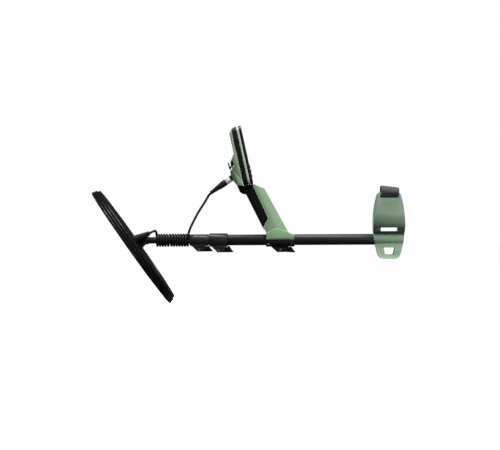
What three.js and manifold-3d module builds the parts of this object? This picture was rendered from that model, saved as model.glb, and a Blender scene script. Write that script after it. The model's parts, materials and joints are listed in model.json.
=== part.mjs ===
// A collapsible metal detector with its shaft pushed fully in, in millimetres.
// The shaft lies along X with its rear end at the origin, the search coil is at -X and +Z is up.
import * as THREE from "three";
import { mergeVertices } from "three/addons/utils/BufferGeometryUtils.js";
import Module from "manifold-3d";

const wasm = await Module();
wasm.setup();

// ---------------------------------------------------------------- driving dimensions
const gap = 0.3; // left between pieces that touch
const margin = 1; // how far a cutting shape runs past the face that it cuts
const roundSides = 40;

const upperTube = { front: -472.2, rear: -4.3, radius: 14.1, wall: 1.5 };
const middleTube = { front: -524.2, rear: -76, radius: 11.5, wall: 1.5 };
const lowerTube = { front: -641.5, rear: -102, radius: 9.5, wall: 2 };
const endCap = { plug: 12 };
const upperLock = { front: -502.2, outer: 17.4, length: 47.5, tip: 65, hook: 2.6 };
const middleLock = { front: -554, outer: 15, length: 51.2, tip: 63.5, hook: 0 };
// places along a lock from its front end, and drops below its collar
const lock = { seat: 29, pin: 24, pinDrop: 9.5, cheekTop: [2, 44], cheekFoot: [21, 33], footDrop: 14.8 };
const lever = { camRadius: 5, camHalf: 7.7, half: 12, pinRadius: 2, scoop: 9 };
const bush = { flange: 3, plug: 10, wall: 2.5 };

const pivot = { x: -678, tongue: 8.5, washer: 1.5, ear: 7, boltRadius: 4 };
const coil = {
  radius: 176, tilt: 55, top: -13.5, layer: 7.3, edge: 2.4,
  spine: 42, spoke: 7, rimWidth: 36, upperStep: 7, lowerStep: 2,
};
const winding = { radius: 159, width: 7, height: 3.2 };
const boot = { start: [-13, -31, -13.2], end: [-3, -29, 28], base: 9.5, tip: 5.6, ribs: 9 };

const lead = { radius: 3.1, sides: 10, wrapInner: 10, wrapOuter: 17.4 };
const wrap = { front: -642.6, rear: -561 };

const pod = { corner: [-387.1, 145.6], lean: 12.1, width: 80, height: 154.5, round: 15 };
const layers = { panel: 7.5, trim: 5.2, band: 13.2, back: 7.4 };
const seam = { top: [-44.6, 49.4], low: [-26.6, 14.6] };
const plug = { socket: [-446, 159.6], rise: 35.5, barrel: 7.4, ring: 1.2, nut: 12.8, body: 40.5, tail: 9 };

const arm = { middle: -35.8, cuffRadius: 50, cuffHeight: 67, top: 122.5, wall: 4, sleeve: 16.2, footZ: -51 };
const legCurve = [[12, -10], [17, -31], [43, -51]]; // the right leg's outer face in [y, z]
const slots = { width: 44, low: [21.2, 30.3], high: [107.5, 113.5], round: 1.8 };
const strap = { width: 46, thick: 2, crest: 139 };

const colours = {
  black: 0x17181a,
  rubber: 0x1c1e1d,
  carbon: 0x2a2a2d,
  green: 0x87a388,
  pale: 0xa9c0a6,
  steel: 0xb9bbbd,
  silver: 0xd6d2cf,
  board: 0x2d5a3a,
  copper: 0xa8693a,
  glass: 0x101416,
  cell: 0x3d5f8c,
  webbing: 0x4a484a,
};

// ---------------------------------------------------------------- shape tools
const deg = THREE.MathUtils.degToRad;
const vec = (x, y, z) => new THREE.Vector3(x, y, z);
const X = vec(1, 0, 0);
const Y = vec(0, 1, 0);
const Z = vec(0, 0, 1);

/** A closed geometry as a manifold solid. */
function solid(geometry) {
  const bare = geometry.index ? geometry.toNonIndexed() : geometry.clone();
  bare.deleteAttribute("normal");
  bare.deleteAttribute("uv");
  const merged = mergeVertices(bare, 1e-4);
  return new wasm.Manifold(
    new wasm.Mesh({
      numProp: 3,
      vertProperties: new Float32Array(merged.attributes.position.array),
      triVerts: new Uint32Array(merged.index.array),
    }),
  );
}

function geometryOf(body) {
  const mesh = body.getMesh();
  const geometry = new THREE.BufferGeometry();
  geometry.setAttribute("position", new THREE.BufferAttribute(mesh.vertProperties, 3));
  geometry.setIndex(new THREE.BufferAttribute(mesh.triVerts, 1));
  geometry.computeVertexNormals();
  return geometry;
}

const join = (first, ...others) => geometryOf(others.reduce((all, g) => all.add(solid(g)), solid(first)));
const cut = (first, ...tools) => geometryOf(tools.reduce((left, g) => left.subtract(solid(g)), solid(first)));
const common = (first, ...others) =>
  geometryOf(others.reduce((all, g) => all.intersect(solid(g)), solid(first)));

/** A profile of [place along, radius] points turned round an axis through a point. */
function turned(profile, axis = X, at = vec(0, 0, 0), sides = roundSides) {
  const points = profile.map(([along, radius]) => new THREE.Vector2(radius, along));
  const geometry = new THREE.LatheGeometry([...points, points[0]], sides);
  geometry.applyQuaternion(new THREE.Quaternion().setFromUnitVectors(Y, axis));
  const facesOut = solid(geometry).volume() > 0;
  return (facesOut ? geometry : flipped(geometry)).translate(at.x, at.y, at.z);
}

function flipped(geometry) {
  const index = Array.from(geometry.index.array);
  for (let i = 0; i < index.length; i += 3) [index[i], index[i + 1]] = [index[i + 1], index[i]];
  geometry.setIndex(index);
  return geometry;
}

const rod = (from, to, radius, axis = X, at, sides) =>
  turned([[from, 0], [from, radius], [to, radius], [to, 0]], axis, at, sides);
const pipe = (from, to, outer, inner, axis = X, at, sides) =>
  turned([[from, inner], [from, outer], [to, outer], [to, inner]], axis, at, sides);

/** An outline of [u, v] points pushed out from a start place, at right angles to u and v. */
function prism(outline, depth, u, v, start, bevel = 0) {
  const isShape = outline instanceof THREE.Shape;
  const shape = isShape ? outline : new THREE.Shape(outline.map(([a, b]) => new THREE.Vector2(a, b)));
  const geometry = new THREE.ExtrudeGeometry(shape, {
    depth: depth - 2 * bevel,
    bevelEnabled: bevel > 0,
    bevelSize: bevel,
    bevelThickness: bevel,
    bevelOffset: -bevel,
    bevelSegments: 2,
    curveSegments: 8,
  });
  geometry.translate(0, 0, bevel);
  const w = u.clone().cross(v);
  geometry.applyMatrix4(new THREE.Matrix4().makeBasis(u, v, w));
  return geometry.translate(start.x, start.y, start.z);
}

/** A side outline of [x, z] points, from one y to a higher one. */
const sideOn = (outline, low, high, bevel) => prism(outline, high - low, X, Z, vec(0, high, 0), bevel);
/** An end outline of [y, z] points, from one x to a higher one. */
const endOn = (outline, low, high, bevel) => prism(outline, high - low, Y, Z, vec(low, 0, 0), bevel);
/** A plan outline of [x, y] points, from one z to a higher one. */
const planOn = (outline, low, high, bevel) => prism(outline, high - low, X, Y, vec(0, 0, low), bevel);

const block = (low, high) =>
  new THREE.BoxGeometry(high[0] - low[0], high[1] - low[1], high[2] - low[2]).translate(
    (low[0] + high[0]) / 2,
    (low[1] + high[1]) / 2,
    (low[2] + high[2]) / 2,
  );

function roundedRectangle(left, bottom, width, height, radius) {
  const shape = new THREE.Shape();
  const [right, top] = [left + width, bottom + height];
  shape.moveTo(left + radius, bottom);
  shape.lineTo(right - radius, bottom);
  shape.absarc(right - radius, bottom + radius, radius, -Math.PI / 2, 0);
  shape.lineTo(right, top - radius);
  shape.absarc(right - radius, top - radius, radius, 0, Math.PI / 2);
  shape.lineTo(left + radius, top);
  shape.absarc(left + radius, top - radius, radius, Math.PI / 2, Math.PI);
  shape.lineTo(left, bottom + radius);
  shape.absarc(left + radius, bottom + radius, radius, Math.PI, 1.5 * Math.PI);
  return shape;
}

/** A round cord along hand-chosen points. */
function cord(points, radius = lead.radius, step = 14) {
  const path = new THREE.CatmullRomCurve3(points.map((p) => vec(...p)), false, "centripetal");
  const section = new THREE.Shape();
  section.absarc(0, 0, radius, 0, 2 * Math.PI);
  return new THREE.ExtrudeGeometry(section, {
    steps: Math.ceil(path.getLength() / step),
    extrudePath: path,
    curveSegments: lead.sides,
  });
}

function piece(name, geometry, colour, roughness = 0.6, metalness = 0) {
  const material = new THREE.MeshStandardMaterial({ color: colour, roughness, metalness });
  const mesh = new THREE.Mesh(geometry, material);
  mesh.name = name;
  return mesh;
}

function hexagon(across) {
  const corner = across / Math.sqrt(3);
  const turns = [0, 60, 120, 180, 240, 300].map(deg);
  return turns.map((turn) => [corner * Math.cos(turn), corner * Math.sin(turn)]);
}

// ---------------------------------------------------------------- telescoping shaft
/**
 * A lever: a cam round its pin between two cheeks, and a finger plate behind them that runs to a tip.
 * The plate steps up by the hook's rise where it comes out from under its collar.
 */
function camLever(pin, { low, tip, top, plateFront, hook }) {
  const { camRadius, camHalf, half, scoop } = lever;
  const side = new THREE.Shape();
  side.moveTo(pin.x, pin.z - camRadius);
  side.lineTo(tip, low);
  side.quadraticCurveTo(tip - 8, low + 6, tip - 12.5, top + hook.rise);
  if (hook.rise > 0) {
    side.lineTo(hook.from, top + hook.rise);
    side.lineTo(hook.from, top);
  }
  side.lineTo(pin.x + 8, top);
  side.lineTo(pin.x, pin.z + camRadius);
  const cam = rod(-camHalf, camHalf, camRadius, Y, vec(pin.x, 0, pin.z), 24);
  const behind = block([plateFront, -half, low - margin], [tip + margin, half, top + hook.rise + margin]);
  const plate = common(sideOn(side, -half, half), behind);
  const fingerScoop = rod(-half - margin, half + margin, scoop, Y, vec(tip - 2, 0, low + 1.2 - scoop), 32);
  return cut(join(cam, sideOn(side, -camHalf, camHalf), plate), pinHole(pin), fingerScoop);
}

const pinHole = (pin) =>
  rod(-lever.half - margin, lever.half + margin, lever.pinRadius + gap, Y, vec(pin.x, 0, pin.z), 20);
const pinRod = (pin) =>
  rod(-lever.half + 0.2, lever.half - 0.2, lever.pinRadius, Y, vec(pin.x, 0, pin.z), 20);
const cheekPair = (outline) => {
  const inside = lever.camHalf + gap;
  return [[-lever.half, -inside], [inside, lever.half]].map(([a, b]) => sideOn(outline, a, b));
};

/** A cam-lock collar, its lever and its pin. The collar sits over the front end of a tube. */
function camLock(name, { front, outer, length, tip, hook }, inTube, overTube) {
  const seat = front + lock.seat;
  const pin = { x: front + lock.pin, z: -outer - lock.pinDrop };
  const low = -outer - lock.footDrop;
  const bore = { front: inTube.radius + gap, rear: overTube.radius + gap };
  const profile = [
    [front, bore.front], [front, outer - 1.2], [front + 1.2, outer], [front + length - 1, outer],
    [front + length, outer - 1], [front + length, bore.rear], [seat, bore.rear], [seat, bore.front],
  ];
  const [[cheekFront, cheekBack], [footFront, footBack]] = [lock.cheekTop, lock.cheekFoot];
  const cheekSide = [
    [front + cheekFront, -outer + 4], [front + footFront, low], [front + footBack, low],
    [front + cheekBack, -outer + 1.5], [front + cheekBack, -outer + 4],
  ];
  const bores = turned([
    [front - margin, 0], [front - margin, bore.front], [seat, bore.front], [seat, bore.rear],
    [front + length + margin, bore.rear], [front + length + margin, 0],
  ]);
  const slit = block([front - margin, -0.7, -outer - margin], [seat - 2, 0.7, 0]);
  const collar = cut(join(turned(profile), ...cheekPair(cheekSide)), bores, slit, pinHole(pin));
  const finger = {
    low: low + 0.2, tip: front + tip, top: -outer - 0.6, plateFront: front + cheekBack + 0.5,
    hook: { rise: hook, from: front + length + 0.6 },
  };
  return [
    piece(`${name}_clamp`, collar, colours.black, 0.55),
    piece(`${name}_clamp_lever`, camLever(pin, finger), colours.black, 0.5),
    piece(`${name}_clamp_pin`, pinRod(pin), colours.steel, 0.35, 0.9),
  ];
}

const tubeOf = ({ front, rear, radius, wall }) => pipe(front, rear, radius, radius - wall);

/** The guide bush in a tube's rear end, which slides in the next tube out. */
function guideBush(name, tube, outerTube) {
  const inner = tube.radius - tube.wall - gap;
  const outer = outerTube.radius - outerTube.wall - gap;
  const bore = inner - bush.wall;
  const face = tube.rear + gap;
  const profile = [
    [tube.rear - bush.plug, bore], [tube.rear - bush.plug, inner], [face, inner], [face, outer],
    [face + bush.flange, outer], [face + bush.flange, bore],
  ];
  return piece(name, turned(profile), colours.pale, 0.5);
}

function upperShaft() {
  const across = upperTube.radius + margin;
  const armScrewHole = rod(-across, across, armScrew.hole, Z, vec(arm.middle, 0, 0), 20);
  const plugRadius = upperTube.radius - upperTube.wall - gap;
  const cap = turned([
    [upperTube.rear - endCap.plug, 0], [upperTube.rear - endCap.plug, plugRadius],
    [upperTube.rear + gap, plugRadius], [upperTube.rear + gap, upperTube.radius],
    [-0.8, upperTube.radius], [0, upperTube.radius - 0.8], [0, 0],
  ]);
  return [
    piece("upper_tube", cut(tubeOf(upperTube), armScrewHole), colours.carbon, 0.45),
    piece("shaft_end_cap", cap, colours.rubber, 0.8),
    ...camLock("upper", upperLock, middleTube, upperTube),
  ];
}

const middleShaft = () => [
  piece("middle_tube", tubeOf(middleTube), colours.carbon, 0.45),
  guideBush("middle_tube_bush", middleTube, upperTube),
  ...camLock("middle", middleLock, lowerTube, middleTube),
];

/** The yoke: a round-ended tongue between the coil's ears, a neck, and a plug into the lower tube. */
function yoke() {
  const tongueRadius = 13;
  const neck = { radius: 8.5, start: 10, end: 36 };
  const tongue = rod(-pivot.tongue, pivot.tongue, tongueRadius, Y, vec(pivot.x, 0, 0), 36);
  const stem = turned([
    [pivot.x, 0], [pivot.x, neck.radius], [pivot.x + neck.end, neck.radius],
    [pivot.x + neck.end, lowerTube.radius - lowerTube.wall - gap],
    [lowerTube.front + 25, lowerTube.radius - lowerTube.wall - gap], [lowerTube.front + 25, 0],
  ]);
  const taper = [[0, 12], [17, 10], [27, 5], [27, -5], [17, -10], [0, -12]];
  const side = taper.map(([along, z]) => [pivot.x + along, z]);
  const shoulder = sideOn(side, -pivot.tongue + 1, pivot.tongue - 1);
  const across = pivot.tongue + margin;
  const bolt = rod(-across, across, pivot.boltRadius + gap, Y, vec(pivot.x, 0, 0), 24);
  return cut(join(tongue, stem, shoulder), bolt);
}

function lowerShaft() {
  const at = vec(pivot.x, 0, 0);
  const earFace = pivot.tongue + pivot.washer + 2 * gap + pivot.ear;
  const washer = (from) => pipe(from, from + pivot.washer, 11, pivot.boltRadius + gap, Y, at, 36);
  const nut = cut(
    prism(hexagon(14), 6, X, Z.clone(), vec(pivot.x, earFace + 6 + gap, 0)),
    rod(earFace - margin, earFace + 9, pivot.boltRadius + gap, Y, at, 24),
  );
  const bolt = turned([
    [-earFace - 4.2, 0], [-earFace - 4.2, 6], [-earFace - 3, 7.2], [-earFace - gap, 7.2],
    [-earFace - gap, pivot.boltRadius], [earFace + 7.5, pivot.boltRadius], [earFace + 7.5, 0],
  ], Y, at, 28);
  return [
    piece("lower_tube", tubeOf(lowerTube), colours.carbon, 0.45),
    guideBush("lower_tube_bush", lowerTube, middleTube),
    piece("yoke", yoke(), colours.black, 0.5),
    piece("pivot_bolt", bolt, colours.black, 0.5),
    piece("pivot_nut", nut, colours.black, 0.5),
    piece("pivot_washer_left", washer(-pivot.tongue - gap - pivot.washer), colours.rubber, 0.9),
    piece("pivot_washer_right", washer(pivot.tongue + gap), colours.rubber, 0.9),
  ];
}

// ---------------------------------------------------------------- search coil, about its pivot
/** A window between the rim and the spine on one side of the coil, split by a spoke. */
function windowPlan(side, end) {
  const inner = coil.radius - coil.rimWidth;
  const [nearSpine, nearSpoke] = [coil.spine, coil.spoke];
  const from = Math.asin(nearSpine / inner);
  const to = Math.acos(nearSpoke / inner);
  const shape = new THREE.Shape();
  shape.moveTo(end * nearSpoke, side * nearSpine);
  shape.lineTo(end * inner * Math.cos(from), side * nearSpine);
  const arc = Array.from({ length: 9 }, (_, i) => from + ((to - from) * i) / 8);
  arc.forEach((a) => shape.lineTo(end * inner * Math.cos(a), side * inner * Math.sin(a)));
  return shape;
}

const coilSides = 72;

/** One flat layer of the coil from a bottom to a top height, with its four windows. */
function coilLayer([bottom, top], radius, roundTop, roundBottom) {
  const profile = [
    [bottom, 0], [bottom, radius - roundBottom], [bottom + roundBottom, radius],
    [top - roundTop, radius], [top, radius - roundTop], [top, 0],
  ];
  const corners = [[1, 1], [1, -1], [-1, 1], [-1, -1]];
  const windows = corners.map(([side, end]) => planOn(windowPlan(side, end), bottom - margin, top + margin));
  return cut(turned(profile, Z, vec(0, 0, 0), coilSides), ...windows);
}

function ear(inner) {
  const outline = new THREE.Shape();
  outline.moveTo(-19, coil.top - 2);
  outline.lineTo(-14.5, 0);
  outline.absarc(0, 0, 14.5, Math.PI, 0, true);
  outline.lineTo(19, coil.top - 2);
  return sideOn(outline, inner, inner + pivot.ear);
}

/** The ribbed strain relief that stands on the upper shell and leans towards the shaft. */
function cableBoot() {
  const [start, end] = [vec(...boot.start), vec(...boot.end)];
  const axis = end.clone().sub(start);
  const length = axis.length();
  const pitch = length / (boot.ribs + 1);
  const profile = [[0, 0], [0, boot.base + 1]];
  for (let i = 0; i < boot.ribs; i++) {
    const radius = boot.base + ((boot.tip - boot.base) * i) / boot.ribs;
    profile.push([pitch * (i + 0.5), radius + 1], [pitch * (i + 0.6), radius - 0.6]);
    profile.push([pitch * (i + 0.9), radius - 0.6], [pitch * (i + 1), radius + 0.6]);
  }
  profile.push([length, boot.tip], [length, 0]);
  return cut(turned(profile, axis.normalize(), start, 18), block([-60, -60, -40], [40, 40, coil.top + gap]));
}

function searchCoil() {
  const shellSplit = coil.top - coil.layer;
  const lowerTop = shellSplit - gap;
  const shellBottom = lowerTop - coil.layer;
  const skidTop = shellBottom - gap;
  const earInner = pivot.tongue + pivot.washer + 2 * gap;
  const boltHole = rod(-30, 30, pivot.boltRadius + gap, Y, vec(0, 0, 0), 24);
  const plate = coilLayer([shellSplit, coil.top], coil.radius - coil.upperStep, coil.edge, 0);
  const upper = cut(join(plate, ear(earInner), ear(-earInner - pivot.ear)), boltHole);
  const floor = lowerTop - winding.height - 2 * gap;
  const ringRadii = [winding.radius + winding.width / 2, winding.radius - winding.width / 2];
  const hoop = (from, to, grow) =>
    pipe(from, to, ringRadii[0] + grow, ringRadii[1] - grow, Z, vec(0, 0, 0), coilSides);
  const shell = coilLayer([shellBottom, lowerTop], coil.radius - coil.lowerStep, coil.edge / 2, 0);
  const skid = coilLayer([skidTop - coil.layer, skidTop], coil.radius, coil.edge / 2, coil.edge);
  return [
    piece("coil_upper_shell", upper, colours.black, 0.4),
    piece("coil_lower_shell", cut(shell, hoop(floor, lowerTop + margin, gap)), colours.black, 0.4),
    piece("coil_winding", hoop(floor + gap, floor + gap + winding.height, 0), colours.copper, 0.4, 0.8),
    piece("skid_plate", skid, colours.black, 0.5),
    piece("cable_boot", cableBoot(), colours.rubber, 0.75),
  ];
}

// ---------------------------------------------------------------- arm cuff and strap
/** The cuff from the side: a barrel outline that is widest over the tube, with rounded corners. */
function cuffSide() {
  const outline = new THREE.Shape();
  const side = (s) => arm.middle + s;
  outline.moveTo(side(-14), -51);
  outline.quadraticCurveTo(side(-25), -50, side(-29), -39);
  outline.quadraticCurveTo(side(-41), -5, side(-41.5), 34);
  outline.quadraticCurveTo(side(-40), 82, side(-31), 112);
  outline.quadraticCurveTo(side(-28), arm.top, side(-19), arm.top);
  outline.lineTo(side(19), arm.top);
  outline.quadraticCurveTo(side(28), arm.top, side(31), 112);
  outline.quadraticCurveTo(side(40), 82, side(41.5), 34);
  outline.quadraticCurveTo(side(41), -5, side(29), -39);
  outline.quadraticCurveTo(side(25), -50, side(14), -51);
  return outline;
}

/** The end outline of a wall: its outer face follows a line and its thickness lies to the inside. */
function wallOutline(outer, thickness) {
  const inner = outer.map(([y, z], i) => {
    const [before, after] = [outer[Math.max(i - 1, 0)], outer[Math.min(i + 1, outer.length - 1)]];
    const [dy, dz] = [after[0] - before[0], after[1] - before[1]];
    const size = Math.hypot(dy, dz);
    return [y - (dz / size) * thickness, z + (dy / size) * thickness];
  });
  return [...outer, ...inner.reverse()];
}

/** A hole with a wide top and a narrow bottom, each given as [z, half-width], and rounded corners. */
function roundedTaper(middle, [top, topHalf], [bottom, bottomHalf], radius) {
  const shape = new THREE.Shape();
  shape.moveTo(middle - topHalf + radius, top);
  shape.lineTo(middle + topHalf - radius, top);
  shape.quadraticCurveTo(middle + topHalf, top, middle + topHalf - radius / 6, top - radius);
  shape.lineTo(middle + bottomHalf + radius / 6, bottom + radius);
  shape.quadraticCurveTo(middle + bottomHalf, bottom, middle + bottomHalf - radius, bottom);
  shape.lineTo(middle - bottomHalf + radius, bottom);
  shape.quadraticCurveTo(middle - bottomHalf, bottom, middle - bottomHalf - radius / 6, bottom + radius);
  shape.lineTo(middle - topHalf + radius / 6, top - radius);
  shape.quadraticCurveTo(middle - topHalf, top, middle - topHalf + radius, top);
  return shape;
}

/** The cuff's U from its left top round the bottom to its right top. */
function cuffCurve(radius) {
  const turns = Array.from({ length: 25 }, (_, i) => deg(180 + 7.5 * i));
  const bowl = turns.map((a) => [radius * Math.cos(a), arm.cuffHeight + radius * Math.sin(a)]);
  return [[-radius, arm.top], ...bowl, [radius, arm.top]];
}

function armCuff() {
  const [rear, front, side] = [-90, 10, 70]; // beyond the cuff's ends and its flanks
  const cuff = endOn(wallOutline(cuffCurve(arm.cuffRadius), arm.wall), rear, front);
  const sleeve = rod(rear, front, arm.sleeve);
  const web = endOn([[-8, 0], [-6, 19], [6, 19], [8, 0]], rear, front);
  const leg = (s) => {
    const curve = new THREE.QuadraticBezierCurve(...legCurve.map(([y, z]) => new THREE.Vector2(s * y, z)));
    const line = curve.getPoints(8).map((p) => [p.x, p.y]);
    return endOn(wallOutline(s > 0 ? line.reverse() : line, arm.wall), rear, front);
  };
  const slot = ([low, high], width) =>
    sideOn(roundedRectangle(arm.middle - width / 2, low, width, high - low, slots.round), -side, side);
  const handHole = sideOn(roundedTaper(arm.middle, [-21.5, 14.2], [-39.5, 11.3], 3.5), -side, side);
  const bore = rod(rear - margin, front + margin, upperTube.radius + gap);
  const { hole, headBottom, headHole } = armScrew;
  const screwHole = turned([
    [-30, 0], [-30, hole], [headBottom, hole], [headBottom + headHole - hole, headHole],
    [40, headHole], [40, 0],
  ], Z, vec(arm.middle, 0, 0), 24);
  const whole = common(join(cuff, sleeve, web, leg(-1), leg(1)), sideOn(cuffSide(), -side, side));
  const strapSlots = [slot(slots.low, slots.width), slot(slots.high, strap.width + 2)];
  return cut(whole, bore, screwHole, handHole, ...strapSlots);
}

/** The strap: a loop round each side's top bar, joined by an arch over the forearm. */
function strapBand() {
  const out = arm.cuffRadius + 0.5;
  const inside = arm.cuffRadius - arm.wall - 0.5;
  const [low, top, t] = [slots.high[0] + 0.7, arm.top + 0.5, strap.thick];
  const shape = new THREE.Shape();
  shape.moveTo(-out - t, low);
  shape.lineTo(-out - t, top);
  shape.quadraticCurveTo(-out + 4, strap.crest - 1, -18, strap.crest);
  shape.lineTo(18, strap.crest);
  shape.quadraticCurveTo(out - 4, strap.crest - 1, out + t, top);
  shape.lineTo(out + t, low);
  shape.lineTo(inside - t, low);
  shape.lineTo(inside - t, top + t);
  shape.quadraticCurveTo(out - 8, strap.crest - t - 2, 18, strap.crest - t);
  shape.lineTo(-18, strap.crest - t);
  shape.quadraticCurveTo(-out + 8, strap.crest - t - 2, -inside + t, top + t);
  shape.lineTo(-inside + t, low);
  const [from, to] = [arm.middle - strap.width / 2, arm.middle + strap.width / 2];
  const bar = (left, right) => block([from - margin, left, low + t], [to + margin, right, top]);
  return cut(endOn(shape, from, to), bar(-out, -inside), bar(inside, out));
}

const armScrew = {
  bottom: -20, radius: 3, hole: 3.3, headBottom: 16.2, headRadius: 6.6, headHole: 7, top: 20.6,
};

function armRest() {
  const { bottom, radius, headBottom, headRadius, top } = armScrew;
  const screw = turned([
    [bottom, 0], [bottom, radius], [headBottom, radius],
    [headBottom + headRadius - radius - 0.2, headRadius], [top, headRadius], [top, 0],
  ], Z, vec(arm.middle, 0, 0), 24);
  return [
    piece("arm_cuff", armCuff(), colours.green, 0.55),
    piece("arm_strap", strapBand(), colours.webbing, 0.95),
    piece("arm_cuff_screw", screw, colours.steel, 0.35, 0.9),
  ];
}

// ---------------------------------------------------------------- handle
const handle = {
  front: [[-406.4, 118], [-360.1, 20.3]],
  rear: [[-358.6, 132.9], [-298.4, 22.1]],
  half: 17,
  lean: 25.3,
  saddle: { front: -355, rear: -281.3, half: 20.4 },
};
// the seam between the grip and the green half, from its foot to the pod
const gripSeam = [[-361.4, 31.5], [-348.2, 55.9], [-386.4, 138.5], [-387.2, 145.2]];
const clampScrew = { xs: [-349, -287.5], y: 16.9, radius: 2, hole: 2.3, head: 3.4, headHole: 3.8 };

/** The green half of the handle: the rear of the grip, its top under the pod, and the saddle on the tube. */
function handleBody() {
  const { saddle, rear, half } = handle;
  const [foot, knee, ...top] = gripSeam;
  const back = [...top, [-380, 142], ...rear, [saddle.rear - 10, 10], [saddle.front + 6, 10], foot, knee];
  const shell = common(sideOn(back, -half, half), handleSection());
  const flanks = sideOn([
    [saddle.front, gap], [saddle.front, 17], [-329, 30.5], [-301, 22], [saddle.rear, 12], [saddle.rear, gap],
  ], -saddle.half, saddle.half, 3);
  const tube = rod(saddle.front - margin, saddle.rear + margin, upperTube.radius + gap);
  const below = block([saddle.front - 40, -30, -5], [saddle.rear + 10, 30, gap]);
  return cut(join(shell, flanks), tube, below, ...atScrews([[-30, clampScrew.hole], [12, clampScrew.hole]]));
}

/** The black rubber grip with the collar that hooks over the forefinger. */
function grip() {
  const [[frontTop, frontTopZ], [frontLow, frontLowZ]] = handle.front;
  const seamLine = gripSeam.map(([x, z]) => [x - 0.6, z]);
  const outline = [
    [-429.4, 141.1], [-422.5, 124.3], [-415, 119.5], [frontTop, frontTopZ], [frontLow + 0.8, frontLowZ + 3],
    ...seamLine, [-412.9, 139.8], [-413.6, 141.1],
  ];
  return common(sideOn(outline, -handle.half, handle.half), handleSection());
}

/** The rounded section of the handle, pushed out along its lean. */
function handleSection() {
  const lean = deg(handle.lean);
  const across = vec(Math.cos(lean), 0, Math.sin(lean));
  const [ahead, behind, middle] = [41, 29, -289.6];
  const [sides, roundness] = [40, 2.8];
  const bend = (value) => Math.sign(value) * Math.abs(value) ** (2 / roundness);
  const outline = Array.from({ length: sides }, (_, i) => {
    const turn = (2 * Math.PI * i) / sides;
    const depth = Math.cos(turn) > 0 ? behind : ahead;
    return [middle + depth * bend(Math.cos(turn)), handle.half * bend(Math.sin(turn))];
  });
  const [below, run] = [100, 440];
  const start = vec(Math.sin(lean), 0, -Math.cos(lean)).multiplyScalar(below);
  return prism(outline, run, across, Y, start);
}

/** A turned shape of [z, radius] points at each of the clamp's four screws. */
const atScrews = (profile) =>
  clampScrew.xs.flatMap((x) => [-1, 1].map((s) => {
    const closed = [[profile[0][0], 0], ...profile, [profile.at(-1)[0], 0]];
    return turned(closed, Z, vec(x, s * clampScrew.y, 0), 16);
  }));

/** The lower half of the clamp round the tube, with the lever that tightens it. */
function handleClamp() {
  const { front, rear, half } = handle.saddle;
  const [bottom, foot] = [-17.8, -32];
  const pin = { x: -318, z: -26 };
  const shell = [
    [-half, -gap], [-half, -9], [-13, bottom], [13, bottom], [half, -9], [half, -gap],
  ];
  const tube = rod(front - margin, rear + margin, upperTube.radius + gap);
  const cheekSide = [[-344, bottom + 2], [-326.6, foot], [-309, foot], [-296, bottom + 2]];
  const { radius, hole, head, headHole } = clampScrew;
  const holes = atScrews([[-30, headHole], [-10.9, headHole], [-10.9, hole], [12, hole]]);
  const clamp = cut(join(endOn(shell, front, rear), ...cheekPair(cheekSide)), tube, pinHole(pin), ...holes);
  const finger = {
    low: foot - 1.6, tip: -276, top: bottom - 0.6, plateFront: -295.5, hook: { rise: 0, from: -300 },
  };
  const screws = atScrews([[-13, head], [-11.2, head], [-11.2, radius], [10, radius]]);
  return [
    piece("handle_clamp", clamp, colours.black, 0.55),
    piece("handle_clamp_lever", camLever(pin, finger), colours.black, 0.5),
    piece("handle_clamp_pin", pinRod(pin), colours.steel, 0.35, 0.9),
    ...screws.map((shape, i) => piece(`clamp_screw_${i + 1}`, shape, colours.steel, 0.35, 0.9)),
  ];
}

const socketAxis = () => vec(-Math.cos(deg(plug.rise)), 0, -Math.sin(deg(plug.rise)));
const socketPlace = () => vec(plug.socket[0], 0, plug.socket[1]);

/** The socket in the head, and the plug on the end of the cable. */
function coilPlug() {
  const [axis, at] = [socketAxis(), socketPlace()];
  const turn = (profile, sides = 24) => turned(profile, axis, at, sides);
  const { ring, nut, body, tail } = plug;
  const socket = turn([[-10, 0], [-10, plug.barrel], [0, plug.barrel], [0, 9.5], [ring, 9.5], [ring, 0]]);
  const nutFront = ring + gap;
  const nutEnd = nutFront + nut;
  const collar = turn([
    [nutFront, 0], [nutFront, 7.4], [nutFront + 1, 8.2], [nutEnd - 1, 8.2], [nutEnd, 7.2], [nutEnd, 0],
  ], 28);
  const start = nutEnd + gap;
  const bodyEnd = start + body;
  const ribs = [1, 2].flatMap((i) => {
    const place = bodyEnd + (tail / 3) * i;
    return [[place, 5], [place + 1.6, 4.4], [place + 1.8, 5.2], [place + 2.6, 5]];
  });
  const overmould = turn([
    [start, 0], [start, 7.8], [start + 2, 8.4], [start + 12, 8.4], [bodyEnd - 8, 6], [bodyEnd, 5],
    [bodyEnd + 1.6, 4.4], [bodyEnd + 1.8, 5.2], [bodyEnd + 2.6, 5], ...ribs,
    [bodyEnd + tail, 4.2], [bodyEnd + tail, 0],
  ]);
  return [
    piece("coil_socket", socket, colours.black, 0.5),
    piece("plug_nut", collar, colours.silver, 0.3, 0.9),
    piece("plug_body", overmould, colours.rubber, 0.7),
  ];
}

// ---------------------------------------------------------------- display pod, front face at x = 0
const depths = {
  panelBack: -layers.panel,
  trimFront: -layers.panel - gap,
  trimBack: -layers.panel - layers.trim,
  bandFront: -layers.panel - layers.trim - gap,
  bandBack: -layers.panel - layers.trim - layers.band,
};
const backFront = depths.bandBack - gap;
const backRear = depths.bandBack - layers.back;
const cover = { floor: -39.5, low: 54.8, high: 68, half: 24 }; // the notch for the port cover in the belly

const keys = {
  up: [0, 46], down: [0, 22], left: [-13, 34], right: [13, 34], select: [0, 34],
};
const keyRadius = 4.6;
const sideKeys = { power_key: 128.7, mode_key: 101.6 };
const sideKey = { length: 15, rear: -22.6, width: 6.5, proud: 0.2, depth: 6 };
const screen = { bottom: 62, top: 138, halfWidth: 31, seat: 2, rim: 3 };

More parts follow.
